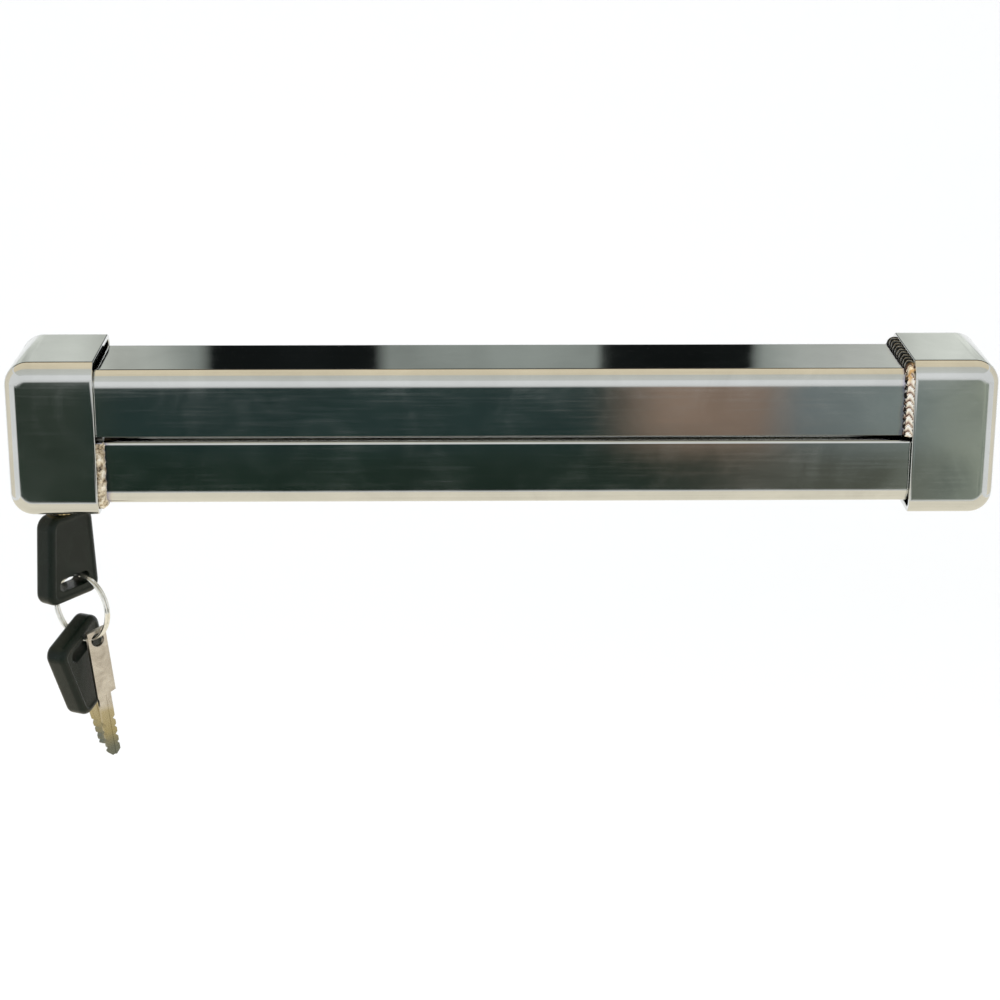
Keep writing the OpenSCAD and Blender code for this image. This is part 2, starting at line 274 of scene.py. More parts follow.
def noise_value(tree, scale, detail=3.0, stretched=(1, 1, 1), rough=0.5, warp=0.0):
    """Noise over the object's own coordinates, stretched along each axis."""
    place = add(tree, "ShaderNodeTexCoord")
    mapping = add(tree, "ShaderNodeMapping")
    mapping.inputs["Scale"].default_value = stretched
    tree.links.new(place.outputs["Object"], mapping.inputs["Vector"])
    texture = add(tree, "ShaderNodeTexNoise")
    texture.inputs["Scale"].default_value = scale
    texture.inputs["Detail"].default_value = detail
    texture.inputs["Roughness"].default_value = rough
    texture.inputs["Distortion"].default_value = warp
    tree.links.new(mapping.outputs["Vector"], texture.inputs["Vector"])
    return texture.outputs[0]


def attribute(tree, name):
    return add(tree, "ShaderNodeAttribute", attribute_name=name).outputs["Fac"]


def metal(tree, colour, roughness, bumps=(), metallic=1.0, **sockets):
    """Principled surface from linked colour and roughness; bumps are pairs of height and depth."""
    shader = add(tree, "ShaderNodeBsdfPrincipled")
    shader.inputs["Metallic"].default_value = metallic
    for label, value in sockets.items():
        shader.inputs[label.replace("_", " ")].default_value = value
    for label, value in (("Base Color", colour), ("Roughness", roughness)):
        if isinstance(value, (int, float)):
            shader.inputs[label].default_value = value
        elif isinstance(value, tuple):
            shader.inputs[label].default_value = (*value, 1)
        else:
            tree.links.new(value, shader.inputs[label])
    below = None
    for height, depth in bumps:
        bump = add(tree, "ShaderNodeBump")
        bump.inputs["Strength"].default_value = 1
        bump.inputs["Distance"].default_value = depth
        tree.links.new(height, bump.inputs["Height"])
        if below is not None:
            tree.links.new(below, bump.inputs["Normal"])
        below = bump.outputs["Normal"]
    if below is not None:
        tree.links.new(below, shader.inputs["Normal"])
    output = add(tree, "ShaderNodeOutputMaterial")
    tree.links.new(shader.outputs[0], output.inputs["Surface"])
    return shader


def group(tree, name, **values):
    """Places a shared group in a material and sets its named inputs."""
    node = add(tree, "ShaderNodeGroup")
    node.node_tree = bpy.data.node_groups[name]
    for label, value in values.items():
        node.inputs[label.replace("_", " ")].default_value = value
    return node.outputs


def make_handling_marks():
    """Shared group: cloudy finger smudges and fine wiping lines along the bar."""
    tree = bpy.data.node_groups.new("handling_marks", "ShaderNodeTree")
    for label, value in (("Smudge Scale", 38.0), ("Line Scale", 900.0)):
        socket = tree.interface.new_socket(label, in_out="INPUT", socket_type="NodeSocketFloat")
        socket.default_value = value
    for label in ("Smudge", "Lines"):
        tree.interface.new_socket(label, in_out="OUTPUT", socket_type="NodeSocketFloat")
    entry = add(tree, "NodeGroupInput")
    leave = add(tree, "NodeGroupOutput")
    place = add(tree, "ShaderNodeTexCoord")
    smudge = add(tree, "ShaderNodeTexNoise")
    smudge.inputs["Detail"].default_value = 6
    smudge.inputs["Roughness"].default_value = 0.62
    smudge.inputs["Distortion"].default_value = 0.8
    tree.links.new(place.outputs["Object"], smudge.inputs["Vector"])
    tree.links.new(entry.outputs["Smudge Scale"], smudge.inputs["Scale"])
    long_lines = add(tree, "ShaderNodeMapping")
    long_lines.inputs["Scale"].default_value = (0.03, 1, 1)
    tree.links.new(place.outputs["Object"], long_lines.inputs["Vector"])
    lines = add(tree, "ShaderNodeTexNoise")
    lines.inputs["Detail"].default_value = 2
    tree.links.new(long_lines.outputs["Vector"], lines.inputs["Vector"])
    tree.links.new(entry.outputs["Line Scale"], lines.inputs["Scale"])
    tree.links.new(smudge.outputs[0], leave.inputs["Smudge"])
    tree.links.new(lines.outputs[0], leave.inputs["Lines"])


# ---------------------------------------------------------------- materials

def polished_stainless(name, weld_x=None):
    """Mirror-polished sheet with smudges and wiping lines, tinted by heat next to a weld."""
    material, tree = new_material(name)
    marks = group(tree, "handling_marks", Smudge_Scale=42.0, Line_Scale=1100.0)
    colour = ramp(tree, marks["Smudge"], ((0.3, (0.57, 0.58, 0.565)), (0.7, (0.64, 0.65, 0.635))))
    roughness = maths(tree, "ADD", stretch(tree, marks["Smudge"], 0.35, 0.75, 0.055, 0.095),
                      stretch(tree, marks["Lines"], 0.4, 0.75, 0.0, 0.025))
    if weld_x is not None:
        near = maths(tree, "ABSOLUTE", maths(tree, "SUBTRACT", places(tree)[0], weld_x))
        uneven = maths(tree, "ADD", near, maths(tree, "MULTIPLY", noise_value(tree, 230), 3 * MM))
        heat = stretch(tree, uneven, 4.6 * MM, 7 * MM, 0.6, 0.0)
        tint = ramp(tree, stretch(tree, uneven, 4 * MM, 7 * MM), (
            (0.0, (0.20, 0.19, 0.34)), (0.5, (0.36, 0.30, 0.40)), (0.9, (0.66, 0.56, 0.38))))
        colour = mix_colour(tree, heat, colour, tint)
    metal(tree, colour, roughness, bumps=(
        (noise_value(tree, 14, detail=1), 0.22 * MM),
        (noise_value(tree, 70, detail=2), 0.012 * MM),
        (noise_value(tree, 5200, detail=1), 0.00012 * MM),
        (marks["Lines"], 0.0005 * MM)))
    return material


def ground_weld():
    """Weld dressed with a disc: pale, pitted and scratched."""
    material, tree = new_material("ground_weld")
    pits = noise_value(tree, 900, detail=5, rough=0.65)
    patches = noise_value(tree, 430, detail=5, rough=0.6)
    colour = ramp(tree, patches, (
        (0.36, (0.05, 0.04, 0.03)), (0.44, (0.42, 0.34, 0.24)),
        (0.54, (0.76, 0.69, 0.56)), (0.64, (1.0, 0.96, 0.88))))
    roughness = stretch(tree, pits, 0.3, 0.7, 0.3, 0.55)
    scratches = noise_value(tree, 1500, stretched=(1, 1, 0.08))
    metal(tree, colour, roughness, bumps=(
        (patches, 0.9 * MM), (pits, 0.15 * MM), (scratches, 0.05 * MM)))
    return material


def rippled_weld():
    """Weld left as laid: straw and purple heat tint at the front, with painted shade in the ripple
    troughs and painted highlights on the crests, and a painted dark reflection over the top.
    """
    material, tree = new_material("rippled_weld")
    place = places(tree)
    mottle = noise_value(tree, 420, detail=4)
    shifted = maths(tree, "ADD", attribute(tree, "ripple"),
                    maths(tree, "MULTIPLY", maths(tree, "SUBTRACT", mottle, 0.5), 0.5))
    # Front colour over each ripple: straw and purple heat tint, with painted shade near black in
    # the troughs and painted highlights near white on the crests.
    bright = ramp(tree, shifted, (
        (0.0, (0.02, 0.014, 0.014)), (0.14, (0.2, 0.11, 0.10)), (0.3, (0.62, 0.5, 0.42)),
        (0.5, (0.95, 0.88, 0.74)), (0.8, (1.0, 0.98, 0.94)), (1.0, (0.5, 0.42, 0.40))))
    gilded = maths(tree, "MULTIPLY",
                   stretch(tree, place[2], BAR_TOP - 5 * MM, BAR_TOP - 2.5 * MM, 0, 0.8),
                   stretch(tree, mottle, 0.46, 0.6))
    bright = mix_colour(tree, gilded, bright, (0.72, 0.43, 0.15))
    # Painted shadow and dark reflection of the bead, black along its toe on the channel side and
    # broken into dots by noise.
    shadow_gaps = noise_value(tree, 1100, detail=3)
    painted_bead_shadow = maths(tree, "MULTIPLY", stretch(tree, attribute(tree, "across"), 0.52, 0.38),
                     stretch(tree, shadow_gaps, 0.42, 0.5))
    bright = mix_colour(tree, painted_bead_shadow, bright, (0.01, 0.01, 0.01))
    # Painted dark reflection for the top run, with painted highlights as light lines along the
    # ripple crests.
    dark = ramp(tree, shifted, (
        (0.0, (0.006, 0.007, 0.007)), (0.56, (0.014, 0.015, 0.014)), (0.66, (0.5, 0.49, 0.46)),
        (0.8, (0.56, 0.55, 0.51)), (0.88, (0.02, 0.02, 0.02))))
    # Over the top, the painted dark reflection takes over from the front colour.
    over_top = stretch(tree, place[1], BAR_FRONT + 1 * MM, BAR_FRONT + 3.5 * MM)
    metal(tree, mix_colour(tree, over_top, bright, dark),
          stretch(tree, shifted, 0.0, 1.0, 0.5, 0.25), bumps=((mottle, 0.12 * MM),))
    return material


def turned_brass():
    material, tree = new_material("turned_brass")
    marks = group(tree, "handling_marks", Smudge_Scale=230.0, Line_Scale=2600.0)
    colour = ramp(tree, marks["Smudge"], ((0.3, (0.52, 0.38, 0.17)), (0.7, (0.9, 0.72, 0.4))))
    metal(tree, colour, stretch(tree, marks["Smudge"], 0.3, 0.7, 0.42, 0.24),
          bumps=((marks["Lines"], 0.01 * MM),))
    return material


def zinc_plate():
    material, tree = new_material("zinc_plate")
    marks = group(tree, "handling_marks", Smudge_Scale=300.0, Line_Scale=2200.0)
    colour = ramp(tree, marks["Smudge"], ((0.3, (0.36, 0.37, 0.38)), (0.7, (0.6, 0.61, 0.6))))
    metal(tree, colour, stretch(tree, marks["Smudge"], 0.3, 0.7, 0.46, 0.28),
          bumps=((marks["Lines"], 0.012 * MM),))
    return material


def worn_key_metal(name, bow_z, tip_z):
    """Nickel plating, worn to brass down the blade and darkened at the tip."""
    material, tree = new_material(name)
    marks = group(tree, "handling_marks", Smudge_Scale=190.0, Line_Scale=3000.0)
    down = stretch(tree, places(tree)[2], bow_z, tip_z)
    plated = ramp(tree, marks["Smudge"], (
        (0.3, (0.42, 0.38, 0.33)), (0.6, (0.60, 0.56, 0.50)), (0.8, (0.66, 0.63, 0.58))))
    worn = ramp(tree, down, (
        (0.0, (0.46, 0.40, 0.26)), (0.6, (0.36, 0.31, 0.17)), (0.95, (0.16, 0.17, 0.14))))
    colour = mix_colour(tree, stretch(tree, down, 0.0, 0.12), plated, worn)
    metal(tree, colour, stretch(tree, marks["Lines"], 0.3, 0.7, 0.24, 0.4),
          bumps=((marks["Lines"], 0.012 * MM),))
    return material


def ring_wire_steel():
    material, tree = new_material("ring_wire_steel")
    marks = group(tree, "handling_marks", Smudge_Scale=260.0, Line_Scale=2400.0)
    colour = ramp(tree, marks["Smudge"], ((0.3, (0.66, 0.66, 0.63)), (0.7, (0.84, 0.84, 0.81))))
    metal(tree, colour, stretch(tree, marks["Smudge"], 0.3, 0.7, 0.2, 0.1),
          bumps=((marks["Lines"], 0.002 * MM),))
    return material


def moulded_plastic():
    """Black key plastic: fine spark-eroded grain, rubbed smoother and paler in places."""
    material, tree = new_material("moulded_plastic")
    grain = noise_value(tree, 3200, detail=2)
    marks = group(tree, "handling_marks", Smudge_Scale=120.0, Line_Scale=2600.0)
    colour = ramp(tree, marks["Smudge"], (
        (0.3, (0.002, 0.006, 0.0035)), (0.75, (0.006, 0.012, 0.008))))
    roughness = stretch(tree, marks["Smudge"], 0.3, 0.75, 0.26, 0.16)
    metal(tree, colour, roughness, bumps=((grain, 0.1 * MM), (marks["Lines"], 0.01 * MM)),
          metallic=0.0, Specular_IOR_Level=0.2)
    return material


# ---------------------------------------------------------------- the two halves

def end_box(name, low, high, rim_side, material, body):
    """A folded box, one side open, its other edges all rounded."""
    bm = block(low, high)
    drop_faces(bm, lambda face: face.normal.x * rim_side > 0.9)
    rim_x = high.x if rim_side > 0 else low.x
    outer = edges_along(bm, 1, lambda middle: abs(middle.x - rim_x) > BOX_ROUND)
    round_edges(bm, outer, BOX_CORNER, 8)
    folds = [e for e in bm.edges if not e.is_boundary and e.calc_face_angle() > 1]
    round_edges(bm, folds, BOX_ROUND, 8)
    bmesh.ops.remove_doubles(bm, verts=bm.verts, dist=0.01 * MM)
    for vertex in bm.verts:
        if vertex.is_boundary:
            vertex.co.x = rim_x
    frame_panels(bm)
    thicken(bm, BOX_WALL)
    return finished(name + "_piece", bm, material, body, name, SHEET_EDGE, 50, pillowed=True)


def channel(name, low, high, up, material, body, edge):
    """A folded channel: front wall, web and a short lip at the back, open between them."""
    deep = max(abs(low.z), abs(high.z))
    bm = block((low.x, low.y, -deep), (high.x, high.y, deep))
    drop_faces(bm, lambda face: abs(face.normal.x) > 0.9)
    round_edges(bm, edges_along(bm, 0), CHANNEL_BEND, 8)
    for height in (HALF_SLIT, HALF_BACK_SLOT):
        bmesh.ops.bisect_plane(bm, geom=bm.verts[:] + bm.edges[:] + bm.faces[:], dist=0.001 * MM,
                               plane_co=(0, 0, up * height), plane_no=(0, 0, 1))
    middle = (low.y + high.y) / 2
    drop_faces(bm, lambda face: face.calc_center_median().z * up < HALF_SLIT)
    drop_faces(bm, lambda face: face.calc_center_median().z * up < HALF_BACK_SLOT
               and face.calc_center_median().y > middle)
    frame_panels(bm)
    thicken(bm, CHANNEL_WALL)
    return finished(name + "_piece", bm, material, body, name, edge, 50, pillowed=True)


WELD_FRONT = BAR_TOP - CHANNEL_BEND - HALF_SLIT
WELD_TURN = math.pi / 2 * CHANNEL_BEND
WELD_WEB = BAR_BACK - BAR_FRONT - 2 * CHANNEL_BEND
WELD_LIP = BAR_TOP - CHANNEL_BEND - HALF_BACK_SLOT
WELD_LONG = WELD_FRONT + 2 * WELD_TURN + WELD_WEB + WELD_LIP


def weld_place(along):
    """Point on the upper channel's skin at a distance along its weld, and the way out from it."""
    def done(start, length):
        return min(max(along - start, 0), length)

    first = WELD_FRONT
    second = WELD_FRONT + WELD_TURN + WELD_WEB
    angle = (done(first, WELD_TURN) + done(second, WELD_TURN)) / CHANNEL_BEND
    out = Vector((0, -math.cos(angle), math.sin(angle)))
    centre = Vector((0, BAR_FRONT + CHANNEL_BEND + done(first + WELD_TURN, WELD_WEB),
                     HALF_SLIT + done(0, WELD_FRONT) - done(second + WELD_TURN, WELD_LIP)))
    return centre + out * CHANNEL_BEND, out


def weld_sheet(rows, columns):
    """A grid that is then laid along a weld, one unit long and one unit wide."""
    bm = bmesh.new()
    bmesh.ops.create_grid(bm, x_segments=rows, y_segments=columns, size=0.5)
    bmesh.ops.translate(bm, vec=(0.5, 0.5, 0), verts=bm.verts)
    return bm


def close_bead(bm):
    """Backs the laid sheet with metal so that the bead is a closed solid."""
    bm.normal_update()
    middle = Vector((0, (BAR_FRONT + BAR_BACK) / 2, 0))
    outwards = sum(face.normal.yz.dot((face.calc_center_median() - middle).yz) for face in bm.faces)
    if outwards < 0:
        bmesh.ops.reverse_faces(bm, faces=bm.faces)
    bmesh.ops.solidify(bm, geom=bm.faces[:], thickness=0.5 * MM)


def lay_bead(bm, rim_x, side, up, shape):
    """Lays the sheet between rim and channel; shape gives the size at (along, across)."""
    ripple_layer = bm.verts.layers.float.new("ripple")
    across_layer = bm.verts.layers.float.new("across")
    for vertex in bm.verts:
        along = vertex.co.x * WELD_LONG
        across = vertex.co.y
        size, ripple = shape(along, across)
        point, out = weld_place(along)
        turn = across * math.pi / 2
        point = point + out * (WELD_RISE * math.sin(turn) * size)
        vertex.co = Vector((rim_x + side * WELD_LEG * math.cos(turn) * size, point.y, up * point.z))
        vertex[ripple_layer] = ripple
        vertex[across_layer] = across


def stacked_ripples(along, across):
    """Scallops that bow along the bead like a stack of coins pushed over."""
    bow = 2.2 * MM * (1 - abs(2 * math.cos(across * math.pi / 2) - 1) ** 1.4)
    drift = 0.5 * MM * noise.noise(Vector((along * 160, 0, 0)))
    knee = WELD_FRONT + WELD_TURN / 2
    laid_to = along - bow + drift
    phase = min(laid_to, knee) / RIPPLE + max(laid_to - knee, 0) / TOP_RIPPLE
    part = phase - math.floor(phase)
    scallop = math.sqrt(max(0, 1 - (1.25 * part - 0.25) ** 2)) if part > 0 else 0
    lump = 0.05 * noise.noise(Vector((along * 500, across * 3, 1)))
    return 0.76 + 0.2 * scallop + lump, part


def ground_back(along, across):
    """A bead dressed flat, with pits and low spots left in it."""
    dip = 0.16 * noise.noise(Vector((along * 420, across * 2.2, 5)))
    pit = 0.1 * noise.noise(Vector((along * 1500, across * 7, 9)))
    return 0.82 + dip + pit, 0.5


def weld_bead(node, name, rim_x, side, up, shape, material, body):
    bm = weld_sheet(BEAD_ROWS, BEAD_ACROSS)
    lay_bead(bm, rim_x, side, up, shape)
    close_bead(bm)
    return finished(name, bm, material, body, node)


# ---------------------------------------------------------------- keys and ring

def key_place():
    middle = (HOUSING_LOW + HOUSING_HIGH) / 2
    return Matrix.Translation((middle.x, middle.y, 0)) @ Matrix.Rotation(KEY_TURN, 4, "Z")


def ring_middle_z():
    far = HEAD_THICK / 2 + RING_OFFSET
    return KEY_TOP - HEAD_HIGH + HEAD_BAR + RING_REST - math.sqrt(RING_RADIUS ** 2 - far ** 2)


def ring_low(along):
    return ring_middle_z() - math.sqrt(RING_RADIUS ** 2 - (along - RING_OFFSET) ** 2)


def key_a_place():
    return key_place() @ Matrix.Translation((0, 0, KEY_TOP))


def key_b_place():
    return (key_place() @ Matrix.Translation((RING_SIDE, -KEY_B_ALONG, ring_low(KEY_B_ALONG)))
            @ Matrix.Rotation(KEY_B_TWIST, 4, "Z") @ Matrix.Rotation(math.pi - KEY_B_LEAN, 4, "Y")
            @ Matrix.Translation((KEY_B_END, 0, HEAD_HIGH - HEAD_BAR - KEY_B_REST)))


def slot_cutter(reach):
    """A rounded bar that cuts the ring slot through a key head."""
    bm = block((-SLOT_LONG / 2, -reach, -SLOT_HIGH / 2), (SLOT_LONG / 2, reach, SLOT_HIGH / 2))
    round_edges(bm, edges_along(bm, 1), SLOT_HIGH / 2 - 0.01 * MM, 10)
    bmesh.ops.translate(bm, vec=(0, 0, HEAD_BAR + SLOT_HIGH / 2 - HEAD_HIGH), verts=bm.verts)
    return bm


def as_object(bm, name):
    mesh = bpy.data.meshes.new(name)
    bm.to_mesh(mesh)
    bm.free()
    made = bpy.data.objects.new(name, mesh)
    scene.collection.objects.link(made)
    return made


def cut_out(piece_bm, cutter_bm):
    """The first shape less the second, as a new bmesh."""
    piece = as_object(piece_bm, "cut_from")
    cutter = as_object(cutter_bm, "cutter")
    cut = piece.modifiers.new("cut", "BOOLEAN")
    cut.operation = "DIFFERENCE"
    cut.solver = "EXACT"
    cut.object = cutter
    graph = bpy.context.evaluated_depsgraph_get()
    result = bmesh.new()
    result.from_mesh(piece.evaluated_get(graph).to_mesh())
    for spent in (piece, cutter):
        mesh = spent.data
        bpy.data.objects.remove(spent)
        bpy.data.meshes.remove(mesh)
    return result


def key_head(node, place, material, body):
    """Moulded head: rounded trapezium with a rim round each sunk face and a ring slot."""
    half = HEAD_WIDE / 2
    bm = block((-half, -HEAD_THICK / 2, -HEAD_HIGH), (half, HEAD_THICK / 2, 0))
    for vertex in bm.verts:
        if vertex.co.z > -HEAD_HIGH / 2:
            vertex.co.x *= HEAD_TAPER
    round_edges(bm, edges_along(bm, 1), HEAD_CORNER, 8)
    round_edges(bm, [e for e in bm.edges if e.calc_face_angle() > 1], HEAD_EDGE, 5)
    sunk = [face for face in bm.faces if abs(face.normal.y) > 0.999]
    for thickness, depth in ((HEAD_RIM, 0), (HEAD_SLOPE, -HEAD_SUNK)):
        bmesh.ops.inset_region(bm, faces=sunk, thickness=thickness, depth=depth,
                               use_even_offset=True)
    bm = cut_out(bm, slot_cutter(HEAD_THICK))
    bmesh.ops.transform(bm, matrix=place, verts=bm.verts)
    return finished(node + "_piece", bm, material, body, node, 0.4 * MM, 60)


def split_ring(material, body):
    """Two flat turns of wire side by side, with a short step where one crosses to the other."""
    bm = bmesh.new()
    bmesh.ops.create_circle(bm, cap_ends=True, radius=RING_WIRE_RADIUS, segments=14)
    upright = Matrix.Rotation(math.pi / 2, 3, "X")
    bmesh.ops.rotate(bm, cent=(0, 0, 0), matrix=upright, verts=bm.verts)
    bmesh.ops.translate(bm, vec=(RING_RADIUS, 0, -RING_SPACING / 2), verts=bm.verts)
    front = list(bm.faces)
    for degrees, climb in ((RING_FULL_TURN, 0), (RING_CROSSING, RING_SPACING), (RING_FULL_TURN, 0)):
        count = degrees // RING_STEP
        spun = bmesh.ops.spin(bm, geom=front, cent=(0, 0, 0), axis=(0, 0, 1),
                              dvec=(0, 0, climb / count), angle=math.radians(degrees),
                              steps=count, use_duplicate=False)
        front = [item for item in spun["geom_last"] if isinstance(item, bmesh.types.BMFace)]
    bmesh.ops.remove_doubles(bm, verts=bm.verts, dist=0.001 * MM)
    bmesh.ops.recalc_face_normals(bm, faces=bm.faces)
    place = (key_place() @ Matrix.Translation((RING_SIDE, -RING_OFFSET, ring_middle_z()))
             @ Matrix.Rotation(-math.pi / 2, 4, "Y") @ Matrix.Rotation(RING_ROLL, 4, "Z"))
    bmesh.ops.transform(bm, matrix=place, verts=bm.verts)
    return finished("split_ring_piece", bm, material, body, "split_ring", 0.1 * MM, 60)


# ---------------------------------------------------------------- the studio

def stage_sheet(name, low, high, material):
    """A flat sheet between two corners that share one coordinate."""
    size = Vector(high) - Vector(low)
    bm = bmesh.new()
    bmesh.ops.create_grid(bm, x_segments=1, y_segments=1, size=0.5)
    if size.z > 0:
        turned = "Y" if size.x == 0 else "X"
        upright = Matrix.Rotation(math.pi / 2, 3, turned)
        bmesh.ops.rotate(bm, cent=(0, 0, 0), matrix=upright, verts=bm.verts)
    bmesh.ops.scale(bm, vec=[max(part, 1e-6) for part in size], verts=bm.verts)
    bmesh.ops.translate(bm, vec=(Vector(low) + Vector(high)) / 2, verts=bm.verts)
    sheet = as_object(bm, name)
    sheet.data.materials.append(material)
    return sheet


def soft_window(tree, low, high, edges):
    """A mask that is 1 inside the sheet and fades to 0 at its edges, over X and Z."""
    place = places(tree)
    mask = None
    for axis, edge in zip((0, 2), edges):
        for start, stop in ((low[axis], low[axis] + edge), (high[axis], high[axis] - edge)):
            side = stretch(tree, place[axis], start, stop)
            mask = side if mask is None else maths(tree, "MULTIPLY", mask, side)
    return mask


def glow(tree, colour, mask):
    """Emission that is see-through where the mask is 0."""
    light = add(tree, "ShaderNodeEmission")
    tree.links.new(colour, light.inputs["Color"])
    clear = add(tree, "ShaderNodeBsdfTransparent")
    blend = add(tree, "ShaderNodeMixShader")
    tree.links.new(mask, blend.inputs[0])
    tree.links.new(clear.outputs[0], blend.inputs[1])
    tree.links.new(light.outputs[0], blend.inputs[2])
    output = add(tree, "ShaderNodeOutputMaterial")
    tree.links.new(blend.outputs[0], output.inputs["Surface"])


def only_in_reflections(sheet):
    sheet.visible_camera = False
    sheet.visible_diffuse = False
    sheet.visible_shadow = False
    sheet.visible_transmission = False
    sheet.visible_volume_scatter = False


def along_card(low, high, stops):
    """Ramp stops given in metres, turned into places between two ends."""
    return [((place - low) / (high - low), colour) for place, colour in stops]


def share(tree, value, low, high):
    """How far a value has come from low to high, not clamped."""
    return maths(tree, "DIVIDE", maths(tree, "SUBTRACT", value, low), high - low)


def dark_front_card():
    """The dim side of the studio, seen in the polished front faces."""
    low, high = (-0.85, CARD_FRONT, CARD_GROUND), (0.85, CARD_FRONT, -0.14)
    material, tree = new_material("dark_front_card")
    place = places(tree)
    run = share(tree, place[0], low[0], high[0])
    upper = ramp(tree, run, along_card(low[0], high[0], (
        (-0.29, (0.036, 0.052, 0.04)), (-0.26, (0.024, 0.047, 0.045)),
        (0.085, (0.028, 0.054, 0.052)), (0.14, (0.35, 0.25, 0.19)),
        (0.205, (0.32, 0.235, 0.185)), (0.24, (0.22, 0.26, 0.27)),
        (0.32, (0.27, 0.32, 0.31)), (0.36, (0.42, 0.46, 0.39)))))
    lower = ramp(tree, run, along_card(low[0], high[0], (
        (-0.29, (0.04, 0.058, 0.044)), (-0.26, (0.017, 0.036, 0.026)), (0.12, (0.02, 0.036, 0.027)),
        (0.2, (0.09, 0.095, 0.078)), (0.3, (0.12, 0.13, 0.105)), (0.36, (0.40, 0.44, 0.37)))))
    colour = mix_colour(tree, stretch(tree, place[2], -0.275, -0.25), lower, upper)
    patches = noise_value(tree, 11, detail=2, warp=1)
    shades = ramp(tree, patches, ((0.3, (0.86, 0.86, 0.86)), (0.7, (1.12, 1.12, 1.12))))
    colour = mix_colour(tree, 1.0, colour, shades, "MULTIPLY")
    clouds = noise_value(tree, 34, detail=3, warp=1.2)
    cloudy = ramp(tree, clouds, ((0.36, (0.5, 0.54, 0.56)), (0.6, (1.15, 1.15, 1.12))))
    colour = mix_colour(tree, stretch(tree, place[0], 0.3, 0.36), colour,
                        mix_colour(tree, 1.0, colour, cloudy, "MULTIPLY"))
    glow(tree, colour, soft_window(tree, low, high, (0.2, 0.075)))
    only_in_reflections(stage_sheet("dark_front_card", low, high, material))


def back_card():
    """The wall behind the bar: grey, with dark uprights, a dark rail and warm light above."""
    low, high = (-0.5, CARD_BACK, 0.04), (0.5, CARD_BACK, 0.36)
    material, tree = new_material("back_card")
    place = places(tree)
    run = share(tree, place[0], low[0], high[0])
    dim, pale, leg = (0.28, 0.31, 0.29), (0.72, 0.75, 0.70), (0.008, 0.01, 0.01)
    wall = ramp(tree, run, along_card(low[0], high[0], (
        (-0.205, pale), (-0.19, (0.5, 0.52, 0.48)),
        (-0.146, dim), (-0.142, leg), (-0.057, leg), (-0.053, dim),
        (0.055, dim), (0.059, leg), (0.134, leg), (0.138, dim),
        (0.19, (0.55, 0.57, 0.54)), (0.215, pale))))
    patches = noise_value(tree, 16, detail=3, stretched=(1, 1, 0.5))
    shades = ramp(tree, patches, ((0.3, (0.7, 0.7, 0.7)), (0.7, (1.3, 1.3, 1.3))))
    wall = mix_colour(tree, 1.0, wall, shades, "MULTIPLY")
    climb = share(tree, place[2], low[2], high[2])
    above = ramp(tree, climb, along_card(low[2], high[2], (
        (0.175, (0.4, 0.42, 0.38)), (0.185, (0.012, 0.008, 0.008)), (0.265, (0.015, 0.01, 0.008)),
        (0.29, (0.9, 0.74, 0.5)), (0.34, (0.95, 0.82, 0.6)))))
    colour = mix_colour(tree, stretch(tree, place[2], 0.165, 0.18), wall, above)
    glow(tree, colour, soft_window(tree, low, high, (0.03, 0.03)))
    only_in_reflections(stage_sheet("back_card", low, high, material))


def tinted_card(name, low, high, axis, stops):
    """A sheet of light whose colour changes along one axis."""
    material, tree = new_material(name)
    run = share(tree, places(tree)[axis], low[axis], high[axis])
    colour = ramp(tree, run, along_card(low[axis], high[axis], stops))
    shades = ramp(tree, noise_value(tree, 9), (
        (0.3, (0.94, 0.94, 0.94)), (0.7, (1.06, 1.06, 1.06))))
    glow(tree, mix_colour(tree, 1.0, colour, shades, "MULTIPLY"), stretch(tree, run, -0.2, -0.1))
    only_in_reflections(stage_sheet(name, low, high, material))


def warm_cards():
    """Warm light from below and the sides, and a ceiling warm behind and grey in front."""
    warm, cream = (1.0, 0.93, 0.77), (0.93, 0.82, 0.62)
    tinted_card("warm_ground_card", (-0.8, CARD_FRONT, CARD_GROUND), (0.8, 0.5, CARD_GROUND), 1,
                ((CARD_FRONT, warm), (0.5, warm)))
    tinted_card("ceiling_card", (-1.4, -2.6, CARD_CEILING), (1.4, 1.0, CARD_CEILING), 1, (
        (-2.5, (0.8, 0.82, 0.81)), (-0.45, (0.72, 0.73, 0.68)),
        (-0.3, cream), (0.5, (0.98, 0.86, 0.64))))
    for name, x in (("left_card", -CARD_SIDE), ("right_card", CARD_SIDE)):
        tinted_card(name, (x, -0.2, -0.35), (x, 0.7, 0.5), 1,
                    ((-0.2, warm), (0.6, (0.86, 0.8, 0.68))))


def pale_floor():
    """A pale floor that curves up into a backdrop."""
    material, tree = new_material("pale_floor")
    colour = ramp(tree, noise_value(tree, 0.7), (
        (0.3, (0.9, 0.9, 0.895)), (0.7, (0.93, 0.93, 0.925))))
    metal(tree, colour, 0.9, metallic=0.0)
    floor_z, back_y, top_z, sweep = -0.42, 1.6, 2.2, 0.7
    bm = block((-3, -3, floor_z), (3, back_y, top_z))
    drop_faces(bm, lambda face: not (face.normal.z < -0.9 or face.normal.y > 0.9))
    round_edges(bm, edges_along(bm, 0, lambda middle: middle.y > 0 and middle.z < 0), sweep, 16)
    bmesh.ops.reverse_faces(bm, faces=bm.faces)
    bm.faces.ensure_lookup_table()
    for face in bm.faces:
        face.smooth = True
    floor = as_object(bm, "pale_floor")
    floor.data.materials.append(material)


def soft_light(name, where, aim, size, power):
    data = bpy.data.lights.new(name, "AREA")
    data.shape = "RECTANGLE"
    data.size, data.size_y = size
    data.energy = power
    light = bpy.data.objects.new(name, data)
    light.location = where
    light.rotation_euler = (Vector(aim) - Vector(where)).to_track_quat("-Z", "Y").to_euler()
    scene.collection.objects.link(light)
    light.visible_camera = False
    light.visible_glossy = False
    return light


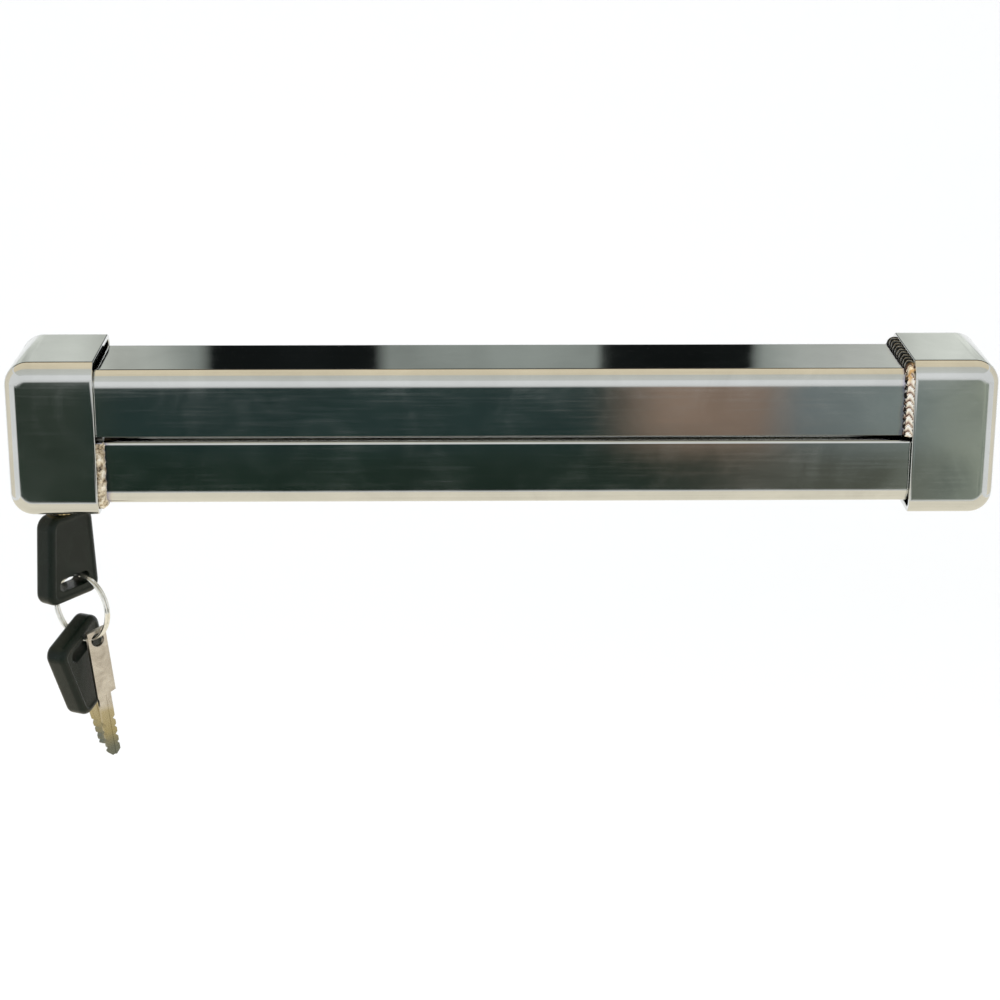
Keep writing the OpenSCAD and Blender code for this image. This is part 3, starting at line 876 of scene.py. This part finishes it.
def studio():
    world = bpy.data.worlds.new("studio_air")
    scene.world = world
    world.use_nodes = True
    backdrop = world.node_tree.nodes["Background"]
    backdrop.inputs["Color"].default_value = (0.97, 0.985, 1.0, 1)
    backdrop.inputs["Strength"].default_value = 1.0
    pale_floor()
    dark_front_card()
    back_card()
    warm_cards()
    soft_light("overhead", (-0.3, -0.2, 1.6), (0, 0, 0), (1.6, 1.2), 9)
    scene.view_settings.view_transform = "Standard"


def camera():
    data = bpy.data.cameras.new("camera")
    data.lens = 88.56
    data.sensor_width = 36
    data.clip_start = 0.05
    view = bpy.data.objects.new("camera", data)
    view.matrix_world = (Matrix.Translation((-0.0185, -0.9175, 0.2589))
                         @ Matrix.Rotation(math.radians(-1.146), 4, "Z")
                         @ Matrix.Rotation(math.radians(72), 4, "X")
                         @ Matrix.Rotation(math.radians(0.166), 4, "Z"))
    scene.collection.objects.link(view)
    scene.camera = view


# ---------------------------------------------------------------- putting it together

make_handling_marks()
box_steel = polished_stainless("polished_stainless_box")
lower_steel = polished_stainless("polished_stainless_lower", LEFT_RIM)
upper_steel = polished_stainless("polished_stainless_upper", RIGHT_RIM)
brass = turned_brass()
zinc = zinc_plate()
key_metal = worn_key_metal("worn_key_blade", KEY_TOP + 30 * MM, KEY_TOP)
spare_metal = worn_key_metal("worn_spare_key", SPARE_LOW.z + 24 * MM, SPARE_LOW.z)
plastic = moulded_plastic()
ring_metal = ring_wire_steel()
dressed = ground_weld()
laid = rippled_weld()

end_box("left_end_box", LEFT_LOW, LEFT_HIGH, 1, box_steel, "lower_half")
end_box("right_end_box", RIGHT_LOW, RIGHT_HIGH, -1, box_steel, "upper_half")
channel("lower_channel", LOWER_LOW, LOWER_HIGH, -1, lower_steel, "lower_half", SLIT_EDGE)
channel("upper_channel", UPPER_LOW, UPPER_HIGH, 1, upper_steel, "upper_half", UPPER_EDGE)
weld_bead("left_weld_bead", "left_weld_bead_piece",
          LEFT_RIM, 1, -1, ground_back, dressed, "lower_half")
weld_bead("right_weld_bead", "right_weld_bead_piece",
          RIGHT_RIM, -1, 1, stacked_ripples, laid, "upper_half")
keeper = softened("keeper_bar", zinc, "upper_half")
for vertex in keeper.data.vertices:
    vertex.co.y = max(vertex.co.y, BAR_FRONT + CHANNEL_WALL + KEEPER_PLAY)
softened("keeper_weld", laid, "upper_half")

softened("lock_housing", brass, "lower_half")
softened("spur_washer", zinc, "lower_half", 0.12 * MM)
softened("housing_nut", brass, "lower_half", 0.25 * MM)
softened("lock_plug", brass, "plug", 0.12 * MM)
softened("stop_washer", zinc, "plug", 0.1 * MM)
softened("cam", zinc, "plug", 0.2 * MM)
softened("cam_washer", zinc, "plug", 0.1 * MM)
softened("cam_screw", zinc, "plug", 0.2 * MM)
for node, material in (("wafers", brass), ("wafer_springs", zinc)):
    bpy.data.objects[node].data.materials.clear()
    bpy.data.objects[node].data.materials.append(material)

key_head("key_a_head", key_a_place(), plastic, "key_a")
softened("key_a_blade", key_metal, "key_a", 0.15 * MM)
split_ring(ring_metal, "key_ring")
key_head("key_b_head", key_b_place(), plastic, "key_b")
softened("key_b_blade", spare_metal, "key_b", 0.15 * MM)
softened("bare_key", spare_metal, "key_c", 0.2 * MM)

studio()
camera()
